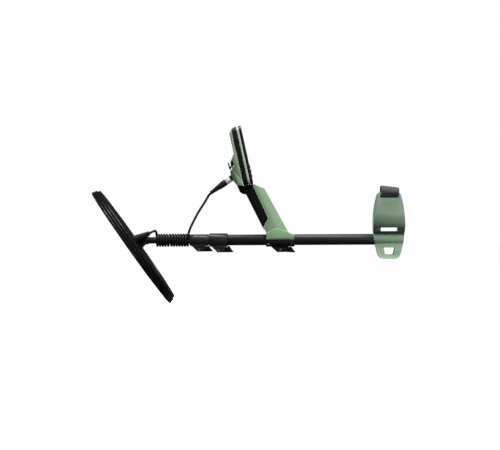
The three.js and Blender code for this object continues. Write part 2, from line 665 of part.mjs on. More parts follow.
/** The pod seen from its front, drawn in by an inset. */
function podFace(inset) {
  const [width, height] = [pod.width - 2 * inset, pod.height - 2 * inset];
  return roundedRectangle(-width / 2, inset, width, height, pod.round - inset);
}
const podPlate = (inset, rear, front, bevel) => endOn(podFace(inset), rear, front, bevel);

/** The pod from the side: its back slopes away from a rounded top. */
const podSide = () => sideOn([
  [1, -5], [1, pod.height + 1], [-15, pod.height + 1], [-21, pod.height - 1.5], [-27, pod.height - 5.5],
  [-31, pod.height - 10], [backRear - 0.2, pod.height - 16], [backRear - 0.2, 90], [-60, 70], [-60, -5],
], -60, 60);

/** The pod's plan section behind the band: full width at the front, and narrowing to a rounded back. */
function backSection() {
  const [half, backHalf, rear] = [pod.width / 2 - 0.9, 13, -56];
  const shape = new THREE.Shape();
  shape.moveTo(margin, -half);
  shape.lineTo(backRear, -half);
  shape.quadraticCurveTo(-45, -half, rear, -backHalf);
  shape.lineTo(rear, backHalf);
  shape.quadraticCurveTo(-45, half, backRear, half);
  shape.lineTo(margin, half);
  return planOn(shape, -10, pod.height);
}

function podShells() {
  const keyHoles = Object.values(keys).map(([y, u]) => rod(-20, 10, keyRadius + gap, X, vec(0, y, u), 24));
  const { bottom, top, halfWidth, seat, rim } = screen;
  const lensBay = block([-seat, -halfWidth, bottom], [margin, halfWidth, top]);
  const lensHole = block([-20, -halfWidth + rim, bottom + rim], [margin, halfWidth - rim, top - rim]);
  const displayBay = block([-12, -halfWidth - rim, bottom - 4], [-4.7, halfWidth + rim, top + 4]);
  const panel = cut(podPlate(0.3, depths.panelBack, 0, 1.5), lensBay, lensHole, displayBay, ...keyHoles);
  const trim = cut(podPlate(0, depths.trimBack, depths.trimFront, 1), podPlate(5, -30, 0));
  const reach = sideKey.length / 2 + gap;
  const sideHoles = Object.values(sideKeys).map((u) =>
    block([sideKey.rear - gap, -pod.width, u - reach], [sideKey.rear + sideKey.width + gap, 0, u + reach]));
  const solidRing = podPlate(0.3, depths.bandBack, depths.bandFront, 0.8);
  const ring = cut(solidRing, podPlate(4.5, -40, 0), ...sideHoles);
  return [
    piece("front_panel", panel, colours.black, 0.35),
    piece("trim_ring", trim, colours.pale, 0.5),
    piece("side_band", common(ring, podSide()), colours.black, 0.6),
  ];
}

/** The green back: a shallow tray with a deeper belly over the battery, which the head meets at the seam. */
function podBack() {
  const tray = podPlate(0.9, backRear, backFront, 2.2);
  const bellySide = [[backFront - 1, 8], [-45.5, 40], [-45.5, 69], [-33, 87], [backFront - 1, 92]];
  const belly = common(sideOn(bellySide, -60, 60), backSection());
  const hollow = common(
    podPlate(4, backRear + 2.8, backFront + margin),
    block([-60, -60, 0], [0, 60, pod.height - 11]),
  );
  const bay = sideOn([
    [backFront + 2, 30], [-32, 33], [-37.4, 48], [-37.4, 72], [-31, 82], [backFront + 2, 82],
  ], -22, 22);
  const notch = block([-60, -60, cover.low], [cover.floor, 60, cover.high]);
  const port = block([-50, -10, 57], [-30, 10, 65.5]);
  const belowSeam = sideOn([[-70, 90], seam.top, seam.low, [seam.low[0], -10], [-70, -10]], -60, 60);
  const solidBack = join(tray, belly);
  return common(cut(solidBack, hollow, bay, notch, port, belowSeam), podSide());
}

/** The head that carries the pod and the coil socket. It carries on the belly's shape below the seam. */
function handleHead() {
  const [[topX, topU], [lowX, lowU]] = [seam.top, seam.low];
  const outline = [
    [topX - 0.3, topU - 0.2], [-50.2, 46.4], [-52.6, 41.5], [-50.3, 21.1], [-47.1, 14.5], [-42.1, 4.7],
    [lowX - gap, 1.5], [lowX - gap, lowU],
  ];
  const head = common(sideOn(outline, -60, 60), backSection());
  const { barrel } = plug;
  const hole = rod(-40, 6, barrel + gap, socketAxis(), socketPlace(), 24);
  return cut(onPod(head), hole);
}

function podInside() {
  const { halfWidth, bottom, top } = screen;
  const lens = podPart(-1.7, 0.2, halfWidth - gap, bottom + gap, top - bottom - 2 * gap);
  return [
    piece("screen_lens", lens, colours.glass, 0.08),
    piece("display_module", podPart(-7.2, -5, halfWidth + 1, bottom - 1, 78), colours.board, 0.4),
    piece("circuit_board", podPart(-19, -17.4, 31, 11, 126), colours.board, 0.5),
    piece("battery_pack", podPart(-36.6, -28, 20, 50, 20), colours.cell, 0.4),
    piece("speaker", rod(-28, -22, 14, X, vec(0, 0, 110), 28), colours.black, 0.5),
  ];
}

const podPart = (rear, front, half, bottom, height) =>
  block([rear, -half, bottom], [front, half, bottom + height]);

function podKeys() {
  const stem = (y, u) => turned([
    [-8.5, 0], [-8.5, keyRadius], [0.8, keyRadius], [1.6, keyRadius - 0.8], [1.6, 0],
  ], X, vec(0, y, u), 24);
  const front = Object.entries(keys).map(([name, [y, u]]) =>
    piece(`key_${name}`, stem(y, u), colours.rubber, 0.7));
  const { length, rear, width, proud, depth } = sideKey;
  const outside = -pod.width / 2;
  const sides = Object.entries(sideKeys).map(([name, u]) => {
    const outline = roundedRectangle(rear, u - length / 2, width, length, 2);
    return piece(name, sideOn(outline, outside - proud, outside + depth), colours.rubber, 0.7);
  });
  return [...front, ...sides];
}

/** The rubber cover that fills the belly's notch over the charging port, with a finger loop behind it. */
function portCover() {
  const [face, low, top] = [cover.floor - gap, cover.low + gap, cover.high - gap];
  const lid = sideOn([
    [face, low + 3], [face - 5, low], [-46, low], [-49.5, 49], [-53, 50.5], [-53.8, 66.5], [-50.4, 66.5], [-49.8, 57], [-47, 57],
    [-46.6, top], [face, top],
  ], -cover.half, cover.half);
  const lip = block([face - margin, -9.5, 59.5], [face + 2, 9.5, 65]);
  return piece("port_cover", join(lid, lip), colours.rubber, 0.85);
}

/** Puts a shape that is drawn in the pod's own frame in its place on the handle. */
const onPod = (geometry) =>
  geometry.rotateY(-deg(pod.lean)).translate(pod.corner[0], 0, pod.corner[1]);

function displayPod() {
  const group = new THREE.Group();
  group.add(...podShells(), piece("pod_back", podBack(), colours.green, 0.55), ...podInside(), ...podKeys());
  group.add(portCover());
  group.position.set(pod.corner[0], 0, pod.corner[1]);
  group.rotation.y = -deg(pod.lean);
  return group;
}

// ---------------------------------------------------------------- cable
const loopRoute = [
  [-654.3, -28, 19.9], [-649.5, -26.6, 22.4], [-645, -19, 24],
  [-642.8, -8, 24.4], [-641.4, 4, 22.6], [-640.2, 12, 18.6],
];
const arcLowRoute = [
  [-557.3, -14, 0.5], [-556.6, -13.8, 14], [-552.4, -12.5, 29], [-542, -9, 51], [-531.5, -5.5, 71],
];
const arcHighRoute = [
  [-531.2, -5.4, 71.4], [-524.3, -3, 82.4], [-515.5, -0.8, 95.8],
  [-507.4, 0, 109.2], [-503.2, 0, 116.4], [-498.8, 0, 121.2],
];

function cableSolids() {
  const ring = pipe(wrap.front, wrap.rear, lead.wrapOuter, lead.wrapInner);
  return [
    piece("cable_loop", cord(loopRoute), colours.rubber, 0.6),
    piece("cable_wrap", ring, colours.rubber, 0.6),
    piece("cable_arc_low", cord(arcLowRoute), colours.rubber, 0.6),
    piece("cable_arc_high", cord(arcHighRoute), colours.rubber, 0.6),
  ];
}

// ---------------------------------------------------------------- the whole detector
const detector = new THREE.Group();
const coilGroup = new THREE.Group();
coilGroup.add(...searchCoil());
coilGroup.position.x = pivot.x;
coilGroup.rotation.y = deg(coil.tilt);
detector.add(coilGroup, ...lowerShaft(), ...middleShaft(), ...upperShaft(), ...armRest());
detector.add(
  piece("handle_body", handleBody(), colours.green, 0.55),
  piece("handle_head", handleHead(), colours.green, 0.55),
  piece("handle_grip", grip(), colours.rubber, 0.85),
  ...handleClamp(), ...coilPlug(), displayPod(), ...cableSolids(),
);

export default detector;
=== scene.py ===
import json
import math

import bpy
from mathutils import Matrix, Vector
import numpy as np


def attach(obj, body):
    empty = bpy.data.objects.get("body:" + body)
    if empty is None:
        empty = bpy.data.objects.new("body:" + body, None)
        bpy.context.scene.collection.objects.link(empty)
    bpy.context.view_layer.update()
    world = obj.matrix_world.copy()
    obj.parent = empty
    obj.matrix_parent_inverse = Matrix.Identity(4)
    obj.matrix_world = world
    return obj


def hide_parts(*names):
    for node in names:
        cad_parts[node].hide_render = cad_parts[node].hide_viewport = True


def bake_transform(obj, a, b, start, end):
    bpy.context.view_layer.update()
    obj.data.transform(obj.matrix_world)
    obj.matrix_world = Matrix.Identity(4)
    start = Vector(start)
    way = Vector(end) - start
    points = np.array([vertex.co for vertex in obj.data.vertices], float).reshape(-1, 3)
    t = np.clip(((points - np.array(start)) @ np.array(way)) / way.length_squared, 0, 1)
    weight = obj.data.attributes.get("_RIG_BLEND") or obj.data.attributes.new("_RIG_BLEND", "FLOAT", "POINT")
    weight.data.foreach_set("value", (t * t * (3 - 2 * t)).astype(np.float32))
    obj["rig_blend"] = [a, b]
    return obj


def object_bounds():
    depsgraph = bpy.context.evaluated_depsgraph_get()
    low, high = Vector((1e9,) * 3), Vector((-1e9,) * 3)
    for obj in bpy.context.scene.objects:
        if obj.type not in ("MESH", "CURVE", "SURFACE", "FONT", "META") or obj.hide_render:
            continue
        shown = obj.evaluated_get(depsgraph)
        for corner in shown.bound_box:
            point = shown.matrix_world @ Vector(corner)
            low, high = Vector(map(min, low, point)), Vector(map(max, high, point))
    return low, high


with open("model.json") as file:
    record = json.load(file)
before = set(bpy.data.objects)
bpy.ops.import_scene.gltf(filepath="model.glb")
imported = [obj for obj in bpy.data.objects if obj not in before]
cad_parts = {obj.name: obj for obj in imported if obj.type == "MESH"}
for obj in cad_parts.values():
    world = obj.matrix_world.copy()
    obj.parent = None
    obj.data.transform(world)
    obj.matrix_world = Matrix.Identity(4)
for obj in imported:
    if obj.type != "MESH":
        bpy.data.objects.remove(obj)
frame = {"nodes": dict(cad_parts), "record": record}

cad_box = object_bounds()

# ------------------------------------------------------------------ dimensions
# routes, profiles and lists of points are in millimetres, and all other sizes in metres
MM = 0.001
CABLE = 3.1 * MM  # radius
CABLE_TUCK = 4 * MM  # how far the cable's ends run on inside the boot and the plug
TUBES = {"upper_tube": 14.1 * MM, "middle_tube": 11.5 * MM, "lower_tube": 9.5 * MM}
ARM_MIDDLE = -35.8 * MM  # the middle of the arm cuff along the shaft
SOCKET = Vector((-446, 0, 159.6)) * MM
PLUG_RISE = math.radians(35.5)  # how steeply the plug's axis climbs into the socket
CLAMP_SCREWS = [(x, y) for x in (-349, -287.5) for y in (-16.9, 16.9)]
LINE_STEPS = 6  # steps between two points of a smoothed line
TIGHT_STEPS = 5  # the same, where the points are close together


def metres(points):
    """Points in millimetres as vectors in metres."""
    return [Vector(p) * MM for p in points]


# ------------------------------------------------------------------ camera
def make_camera():
    """A long lens square on to the detector's left side, rolled very slightly."""
    away, width_seen, sensor = 8.6, 1.3, 36
    aim_x, height = -0.3965, 0.0387
    data = bpy.data.cameras.new("camera")
    data.lens = sensor * away / width_seen
    data.sensor_width = sensor
    data.clip_end = 100
    camera = bpy.data.objects.new("camera", data)
    bpy.context.scene.collection.objects.link(camera)
    roll = Matrix.Rotation(math.radians(0.27), 4, "Y")
    level = Matrix.Rotation(math.pi / 2, 4, "X")
    camera.matrix_world = Matrix.Translation((aim_x, -away, height)) @ roll @ level
    bpy.context.scene.camera = camera


make_camera()


# ------------------------------------------------------------------ mesh tools
def mesh_piece(name, verts, faces, smooth=True):
    """A new object in the scene from vertices and faces."""
    mesh = bpy.data.meshes.new(name)
    mesh.from_pydata([tuple(v) for v in verts], [], faces)
    mesh.update()
    made = bpy.data.objects.new(name, mesh)
    bpy.context.scene.collection.objects.link(made)
    for polygon in mesh.polygons:
        polygon.use_smooth = smooth
    return made


def smooth_line(points, steps):
    """A centripetal Catmull-Rom curve through the points, with some steps between each two."""
    ends = [2 * points[0] - points[1]] + list(points) + [2 * points[-1] - points[-2]]
    line = []
    for before, a, b, after in zip(ends, ends[1:], ends[2:], ends[3:]):
        t0 = 0
        t1 = t0 + math.sqrt((a - before).length)
        t2 = t1 + math.sqrt((b - a).length)
        t3 = t2 + math.sqrt((after - b).length)
        for i in range(steps):
            t = t1 + (t2 - t1) * i / steps
            a1 = before * ((t1 - t) / (t1 - t0)) + a * ((t - t0) / (t1 - t0))
            a2 = a * ((t2 - t) / (t2 - t1)) + b * ((t - t1) / (t2 - t1))
            a3 = b * ((t3 - t) / (t3 - t2)) + after * ((t - t2) / (t3 - t2))
            b1 = a1 * ((t2 - t) / (t2 - t0)) + a2 * ((t - t0) / (t2 - t0))
            b2 = a2 * ((t3 - t) / (t3 - t1)) + a3 * ((t - t1) / (t3 - t1))
            line.append(b1 * ((t2 - t) / (t2 - t1)) + b2 * ((t - t1) / (t2 - t1)))
    return line + [points[-1]]


def distances(line):
    """How far along the line each of its points is."""
    made = [0.0]
    for a, b in zip(line, line[1:]):
        made.append(made[-1] + (b - a).length)
    return made


def line_length(line):
    """How long the line is."""
    return distances(line)[-1]


def directions(line):
    """The way the line runs at each of its points."""
    last = len(line) - 1
    return [(line[min(i + 1, last)] - line[max(i - 1, 0)]).normalized() for i in range(len(line))]


def tube_faces(rings, sides, base=0):
    """The walls and two ends of a tube whose rings of vertices follow one another from the vertex base."""
    faces = []
    for i in range(rings - 1):
        a, b = base + i * sides, base + (i + 1) * sides
        for k in range(sides):
            nxt = (k + 1) % sides
            faces.append((a + k, a + nxt, b + nxt, b + k))
    faces.append(tuple(base + k for k in reversed(range(sides))))
    faces.append(tuple(base + (rings - 1) * sides + k for k in range(sides)))
    return faces


def swept_tube(name, line, radius, sides=14):
    """A round tube along a line, closed at both ends, whose section turns with the line and never twists."""
    ahead = directions(line)
    side = ahead[0].orthogonal().normalized()
    verts = []
    for place, direction in zip(line, ahead):
        side = (side - direction * side.dot(direction)).normalized()
        up = direction.cross(side)
        for k in range(sides):
            turn = 2 * math.pi * k / sides
            verts.append(place + radius * (side * math.cos(turn) + up * math.sin(turn)))
    made = mesh_piece(name, verts, tube_faces(len(line), sides))
    made.data["sides"] = sides
    return made


def blend_by_length(piece, line, body_a, body_b):
    """A cord bends between two bodies by the share of its length, so that its turns open evenly."""
    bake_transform(piece, body_a, body_b, start=line[0], end=line[-1])
    total = line_length(line)
    shares = [along / total for along in distances(line)]
    sides = piece.data["sides"]
    attribute = piece.data.attributes["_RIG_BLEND"]
    attribute.data.foreach_set("value", [share for share in shares for _ in range(sides)])


# ------------------------------------------------------------------ the coil's cable
# from the boot on the coil, over to the far side of the lower tube
LOOP_ROUTE = [
    (-654.3, -28, 19.9), (-649.5, -26.6, 22.4), (-645, -19, 24),
    (-642.8, -8, 24.4), (-641.4, 4, 22.6), (-640.2, 12, 18.6),
]
# from the last turn, up and in to the plug
ARC_LOW_ROUTE = [
    (-557.3, -14, 0.5), (-556.6, -13.8, 14), (-552.4, -12.5, 29), (-542, -9, 51), (-531.5, -5.5, 71),
]
ARC_HIGH_ROUTE = [
    (-531.2, -5.4, 71.4), (-524.3, -3, 82.4), (-515.5, -0.8, 95.8),
    (-507.4, 0, 109.2), (-503.2, 0, 116.4), (-498.8, 0, 121.2),
]
# the turns: settle is the angle in which the cable comes down on to the tube, and points are to a turn
WRAP = {"radius": 14.1, "turns": 12, "points": 28, "settle": 1.9}
# a small gap in the winding, after some turns
SLACK = {"after": 5, "gap": 1.6, "suddenness": 5}


def wrap_line():
    """The turns round the lower tube: over the top from the loop, and up the near side into the arc."""
    start, end = LOOP_ROUTE[-1], ARC_LOW_ROUTE[0]
    first = math.atan2(start[2], -start[1])
    last = 2 * math.pi * WRAP["turns"] + math.atan2(end[2], -end[1])
    start_radius = math.hypot(start[1], start[2])
    steps = int(WRAP["points"] * (last - first) / (2 * math.pi))
    run = end[0] - start[0] - SLACK["gap"]
    line = []
    for i in range(steps + 1):
        turn = first + (last - first) * i / steps
        share = min((turn - first) / WRAP["settle"], 1)
        ease = share * share * (3 - 2 * share)
        radius = start_radius + (WRAP["radius"] - start_radius) * ease
        loose = 1 / (1 + math.exp(-(turn / (2 * math.pi) - SLACK["after"]) * SLACK["suddenness"]))
        x = start[0] + run * (turn - first) / (last - first) + SLACK["gap"] * loose
        line.append(Vector((x, -radius * math.cos(turn), radius * math.sin(turn))) * MM)
    return line


def make_cables():
    """The one cable as four pieces, each of which hangs between two neighbouring bodies."""
    loop = smooth_line(metres(LOOP_ROUTE), TIGHT_STEPS)
    loop.insert(0, loop[0] + (loop[0] - loop[1]).normalized() * CABLE_TUCK)
    wrap = wrap_line()
    high = smooth_line(metres(ARC_HIGH_ROUTE), LINE_STEPS)
    low = smooth_line(metres(ARC_LOW_ROUTE), LINE_STEPS) + [high[0]]
    high.append(high[-1] + (high[-1] - high[-2]).normalized() * CABLE_TUCK)
    runs = {
        "coil_cable_loop": (loop, "cable_loop", "search_coil", "lower_shaft", "hanging"),
        "coil_cable_turns": (wrap, "cable_wrap", "lower_shaft", "middle_shaft", "coiled"),
        "coil_cable_low_arc": (low, "cable_arc_low", "middle_shaft", "upper_shaft", "loose"),
        "coil_cable_high_arc": (high, "cable_arc_high", "upper_shaft", "handle", "loose"),
    }
    made = {}
    for name, (line, node, body_a, body_b, lay) in runs.items():
        piece = swept_tube(name, line, CABLE)
        blend_by_length(piece, line, body_a, body_b)
        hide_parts(node)
        made[name] = (piece, line, lay)
    return made


cables = make_cables()


# ------------------------------------------------------------------ materials
def add(tree, kind, inputs=None, **settings):
    """A new node, with its settings, and its inputs set to a value or linked to a socket."""
    made = tree.nodes.new(kind)
    for key, value in settings.items():
        setattr(made, key, value)
    for key, value in (inputs or {}).items():
        if isinstance(value, bpy.types.NodeSocket):
            tree.links.new(value, made.inputs[key])
        else:
            made.inputs[key].default_value = value
    return made


def maths(tree, operation, first, second=0.0):
    """One sum of two values, each a number or a socket."""
    return add(tree, "ShaderNodeMath", {0: first, 1: second}, operation=operation).outputs[0]


def remap(tree, value, low, high, to_low, to_high):
    """The value taken from one range to another, and held inside it."""
    inputs = {"Value": value, "From Min": low, "From Max": high, "To Min": to_low, "To Max": to_high}
    return add(tree, "ShaderNodeMapRange", inputs, clamp=True).outputs["Result"]


def blend_colours(tree, share, first, second):
    """Two colours, each a tuple or a socket, mixed by a share. The Mix node's colour sockets are 6 and 7."""
    made = add(tree, "ShaderNodeMix", {0: share}, data_type="RGBA")
    for socket, value in ((6, first), (7, second)):
        if isinstance(value, bpy.types.NodeSocket):
            tree.links.new(value, made.inputs[socket])
        else:
            made.inputs[socket].default_value = (*value, 1)
    return made.outputs[2]


def noise(tree, place, scale, detail=3.0):
    inputs = {"Vector": place, "Scale": scale, "Detail": detail, "Roughness": 0.55}
    return add(tree, "ShaderNodeTexNoise", inputs).outputs["Fac"]


def worn_and_highlit_edges(tree, place, radius):
    """Near 1 along outer edges, broken up by noise, and 0 on flat faces."""
    rounded = add(tree, "ShaderNodeBevel", {"Radius": radius}, samples=4).outputs["Normal"]
    plain = add(tree, "ShaderNodeNewGeometry").outputs["Normal"]
    inputs = {0: rounded, 1: plain}
    same = add(tree, "ShaderNodeVectorMath", inputs, operation="DOT_PRODUCT").outputs["Value"]
    edge = remap(tree, same, 0.995, 0.85, 0, 1)
    broken = remap(tree, noise(tree, place, 160), 0.35, 0.7, 0.15, 1)
    return maths(tree, "MULTIPLY", edge, broken)


def tinted(colour, factor):
    """The colour made darker or lighter by a factor."""
    return tuple(min(channel * factor, 1) for channel in colour)


class Look:
    """A material in the making: its shader, its place in metres, and what has been added to its bump."""

    def __init__(self, name, metallic=0.0, **sockets):
        self.material = bpy.data.materials.new(name)
        self.material.use_nodes = True
        self.tree = self.material.node_tree
        self.shader = self.tree.nodes["Principled BSDF"]
        self.shader.inputs["Metallic"].default_value = metallic
        for key, value in sockets.items():
            self.shader.inputs[key.replace("_", " ")].default_value = value
        self.place = add(self.tree, "ShaderNodeTexCoord").outputs["Object"]
        self.normal = None

    def bump(self, height, distance):
        """Raises the surface by height times a distance in metres, on top of earlier bumps."""
        inputs = {"Height": height, "Distance": distance, "Strength": 1.0}
        if self.normal is not None:
            inputs["Normal"] = self.normal
        self.normal = add(self.tree, "ShaderNodeBump", inputs).outputs["Normal"]
        self.tree.links.new(self.normal, self.shader.inputs["Normal"])

    def colour(self, socket):
        self.tree.links.new(socket, self.shader.inputs["Base Color"])

    def roughness(self, socket):
        self.tree.links.new(socket, self.shader.inputs["Roughness"])


def moulded(name, colour, rough, tone=0.07, wear=0.25, grain=2600, depth=0.000008, edge=0.0007, **sockets):
    """Moulded plastic or rubber: a fine grain, slow changes of tone, paler edges and handled patches. The
    paler edges are wear, and where they are strong, as on the coil, painted highlights.
    """
    look = Look(name, **sockets)
    tree = look.tree
    slow = remap(tree, noise(tree, look.place, 22), 0.3, 0.7, 0, 1)
    body = blend_colours(tree, slow, tinted(colour, 1 - tone), tinted(colour, 1 + tone))
    worn_and_highlit = maths(tree, "MULTIPLY", worn_and_highlit_edges(tree, look.place, edge), wear)
    # the paler edge colour: scuffed wear, and on the coil mostly a painted highlight
    scuffed = tuple(min(channel * 1.5 + 0.05, 1) for channel in colour)
    look.colour(blend_colours(tree, worn_and_highlit, body, scuffed))
    handled = remap(tree, noise(tree, look.place, 75, 5), 0.3, 0.7, -0.05, 0.05)
    look.roughness(maths(tree, "ADD", handled, rough))
    look.bump(noise(tree, look.place, grain, 2), depth)
    return look


def carbon(name, radius):
    """A satin tube rolled from woven carbon: a fine twill under a thin clear coat."""
    tows_round, twill = 36, 4.0
    tow = 2 * math.pi * radius / tows_round
    look = Look(name, Coat_Weight=0.25, Coat_Roughness=0.35)
    tree = look.tree
    split = add(tree, "ShaderNodeSeparateXYZ", {0: look.place})
    turn = maths(tree, "ARCTAN2", split.outputs["Y"], split.outputs["Z"])
    across = maths(tree, "FLOOR", maths(tree, "MULTIPLY", turn, radius / tow))
    along = maths(tree, "FLOOR", maths(tree, "DIVIDE", split.outputs["X"], tow))
    step = maths(tree, "FRACT", maths(tree, "DIVIDE", maths(tree, "ADD", across, along), twill))
    over = maths(tree, "LESS_THAN", step, 0.5)
    fibre = noise(tree, look.place, 1800, 1)
    look.colour(blend_colours(tree, over, (0.007, 0.007, 0.008), (0.012, 0.012, 0.0135)))
    rough = remap(tree, over, 0, 1, 0.55, 0.45)
    scuffed = remap(tree, noise(tree, look.place, 90, 6), 0.45, 0.75, 0, 0.12)
    look.roughness(maths(tree, "ADD", rough, scuffed))
    look.bump(maths(tree, "ADD", over, maths(tree, "MULTIPLY", fibre, 0.4)), 0.00002)
    return look


def rubber_grip(name):
    """Soft rubber with small raised pips."""
    look = moulded(name, (0.0045, 0.005, 0.0048), 0.7, wear=0.1, Specular_IOR_Level=0.18)
    tree = look.tree
    cells = add(tree, "ShaderNodeTexVoronoi", {"Vector": look.place, "Scale": 420, "Randomness": 0.15})
    pips = remap(tree, cells.outputs["Distance"], 0.15, 0.45, 1, 0)
    look.bump(pips, 0.00012)
    return look


def metal(name, colour, rough, metallic=1.0):
    """Brushed metal: fine lines in one direction, and duller patches."""
    look = Look(name, metallic=metallic)
    tree = look.tree
    brushed = add(tree, "ShaderNodeMapping", {"Vector": look.place, "Scale": (300, 300, 4000)}).outputs[0]
    lines = noise(tree, brushed, 1, 3)
    dull = remap(tree, noise(tree, look.place, 120, 4), 0.4, 0.7, 0, 1)
    look.colour(blend_colours(tree, dull, colour, tinted(colour, 0.8)))
    look.roughness(maths(tree, "ADD", remap(tree, lines, 0.3, 0.7, -0.06, 0.08), rough))
    look.bump(lines, 0.00001)
    return look


def webbing(name, colour):
    """Woven nylon: ribs across and cords along, from the cloth's own flat coordinates."""
    look = Look(name, Sheen_Weight=0.25, Sheen_Roughness=0.5)
    tree = look.tree
    flat = add(tree, "ShaderNodeAttribute", attribute_name="flat").outputs["Vector"]
    split = add(tree, "ShaderNodeSeparateXYZ", {0: flat})
    cord, rib = 1.1 * MM, 1.76 * MM
    across = maths(tree, "SINE", maths(tree, "MULTIPLY", split.outputs["X"], 2 * math.pi / cord))
    along = maths(tree, "SINE", maths(tree, "MULTIPLY", split.outputs["Y"], 2 * math.pi / rib))
    weave = maths(tree, "MULTIPLY", across, along)
    height = remap(tree, weave, -1, 1, 0, 1)
    fuzz = noise(tree, look.place, 900, 4)
    shade = maths(tree, "ADD", maths(tree, "MULTIPLY", height, 0.7), maths(tree, "MULTIPLY", fuzz, 0.5))
    shade = remap(tree, shade, 0.2, 1.0, 0, 1)
    look.colour(blend_colours(tree, shade, tinted(colour, 0.55), tinted(colour, 1.25)))
    look.roughness(remap(tree, fuzz, 0.3, 0.7, 0.8, 0.95))
    look.bump(height, 0.0003)
    look.bump(fuzz, 0.0001)
    return look


def circuit(name):
    """Green solder mask over copper tracks."""
    look = Look(name, Coat_Weight=0.5, Coat_Roughness=0.15)
    tree = look.tree
    turn = {"Vector": look.place, "Rotation": (math.pi / 2, 0, 0)}
    turned = add(tree, "ShaderNodeMapping", turn).outputs[0]
    inputs = {"Vector": turned, "Scale": 140, "Mortar Size": 0.06, "Brick Width": 0.6, "Row Height": 0.3}
    tracks = add(tree, "ShaderNodeTexBrick", inputs).outputs["Fac"]
    look.colour(blend_colours(tree, tracks, (0.01, 0.08, 0.025), (0.03, 0.17, 0.05)))
    look.roughness(remap(tree, noise(tree, look.place, 300), 0.3, 0.7, 0.3, 0.45))
    look.bump(tracks, 0.00003)
    return look


def display_glass(name):
    """Dark hard-coated glass with the faint grid of the panel under it and a few fine wipe marks."""
    look = Look(name, Coat_Weight=1.0, Coat_Roughness=0.04)
    tree = look.tree
    cells = add(tree, "ShaderNodeTexChecker", {"Vector": look.place, "Scale": 3000}).outputs["Fac"]
    look.colour(blend_colours(tree, cells, (0.006, 0.008, 0.009), (0.011, 0.015, 0.016)))
    wiped = add(tree, "ShaderNodeMapping", {"Vector": look.place, "Scale": (20, 20, 400)}).outputs[0]
    look.roughness(remap(tree, noise(tree, wiped, 3, 5), 0.45, 0.8, 0.08, 0.22))
    look.bump(noise(tree, look.place, 60, 2), 0.00001)
    return look


# the pod's green and the handle's green are the green plastic made darker, painted shade on those parts
GREEN, POD_GREEN_PAINTED_SHADE, HANDLE_GREEN_PAINTED_SHADE = (0.214, 0.307, 0.211), (0.18, 0.275, 0.158), (0.188, 0.29, 0.174)
BLACK, PALE, BLUE = (0.0055, 0.0055, 0.006), (0.36, 0.45, 0.345), (0.05, 0.12, 0.28)
CLAMP_BLACK, GLOSSY_BLACK = (0.015, 0.0148, 0.016), (0.009, 0.009, 0.01)
RUBBER_BLACK, CABLE_BLACK = (0.009, 0.0092, 0.009), (0.008, 0.008, 0.009)
STEEL, SILVER, COPPER = (0.55, 0.55, 0.56), (0.88, 0.86, 0.84), (0.62, 0.26, 0.1)
WEBBING_BLACK = (0.045, 0.043, 0.046)
RUBBER_GRAIN = {"depth": 0.00001, "Specular_IOR_Level": 0.4}
# colour, roughness, and what differs from the usual moulding
MOULDED = {
    "green_plastic": (GREEN, 0.5, {"tone": 0.03, "wear": 0.3}),
    "pod_green_painted_shade": (POD_GREEN_PAINTED_SHADE, 0.5, {"tone": 0.03, "wear": 0.3}),
    "handle_green_painted_shade": (HANDLE_GREEN_PAINTED_SHADE, 0.5, {"tone": 0.03, "wear": 0.3}),
    "pale_plastic": (PALE, 0.45, {"wear": 0.2}),
    "black_plastic": (BLACK, 0.5, {"wear": 0.12, "Specular_IOR_Level": 0.35}),
    "clamp_plastic": (CLAMP_BLACK, 0.4, {"wear": 0.12, "Specular_IOR_Level": 0.5}),
    # the coil's strong pale edges are painted highlights along its rims, with a little wear
    "coil_plastic": (BLACK, 0.3, {"wear": 0.9, "edge": 0.0009, "Specular_IOR_Level": 0.35}),
    "gloss_black": (GLOSSY_BLACK, 0.16, {"wear": 0.12}),
    "black_rubber": (RUBBER_BLACK, 0.6, {"wear": 0.1, "grain": 1600, **RUBBER_GRAIN}),
    "cable": (CABLE_BLACK, 0.42, {"wear": 0.0, "grain": 1400, **RUBBER_GRAIN}),
    "cell_wrap": (BLUE, 0.3, {"wear": 0.1, "grain": 900}),
}


def make_looks():
    """Every material by name: one for each slot in the record, and a few of one node's own."""
    made = {name: moulded(name, colour, rough, **extra) for name, (colour, rough, extra) in MOULDED.items()}
    made["steel"] = metal("steel", STEEL, 0.3)
    # the plug nut's silver is mostly a pale diffuse colour at metallic 0.25, a painted reflection of bright
    # surroundings
    made["bright_metal"] = metal("bright_metal", SILVER, 0.5, metallic=0.25)
    made["copper"] = metal("copper", COPPER, 0.35)
    made["grip_rubber"] = rubber_grip("grip_rubber")
    made["webbing"] = webbing("webbing", WEBBING_BLACK)
    made["circuit"] = circuit("circuit")
    made["lens"] = display_glass("lens")
    for tube, radius in TUBES.items():
        made[tube] = carbon(f"carbon_{tube}", radius)
    return {name: look.material for name, look in made.items()}


looks = make_looks()
SLOT_OF = {part["node"]: part["material_slot"] for part in frame["record"]["subparts"]}


def dress(piece, look):
    """Gives the piece one look, and no other material."""
    piece.data.materials.clear()
    piece.data.materials.append(looks[look])


# ------------------------------------------------------------------ webbing strap
STRAP = {"width": 46 * MM, "thick": 1.7 * MM, "across": 12, "length": 0.232, "thinning": 0.45}
# its edges lie a little unevenly: lift is how far they wander, and waves is in radians to a metre
STRAP_WAVE = {"lift": 0.6 * MM, "waves": 46}
# the arch leans: from one height to the other the strap moves back, and its rear edge moves down
STRAP_SKEW = {"slope": -0.095, "shift": 2.5 * MM, "from": 112 * MM, "to": 125 * MM}
SEWN_PLACES = [(-49.5, 131.6), (-41, 134.6)]
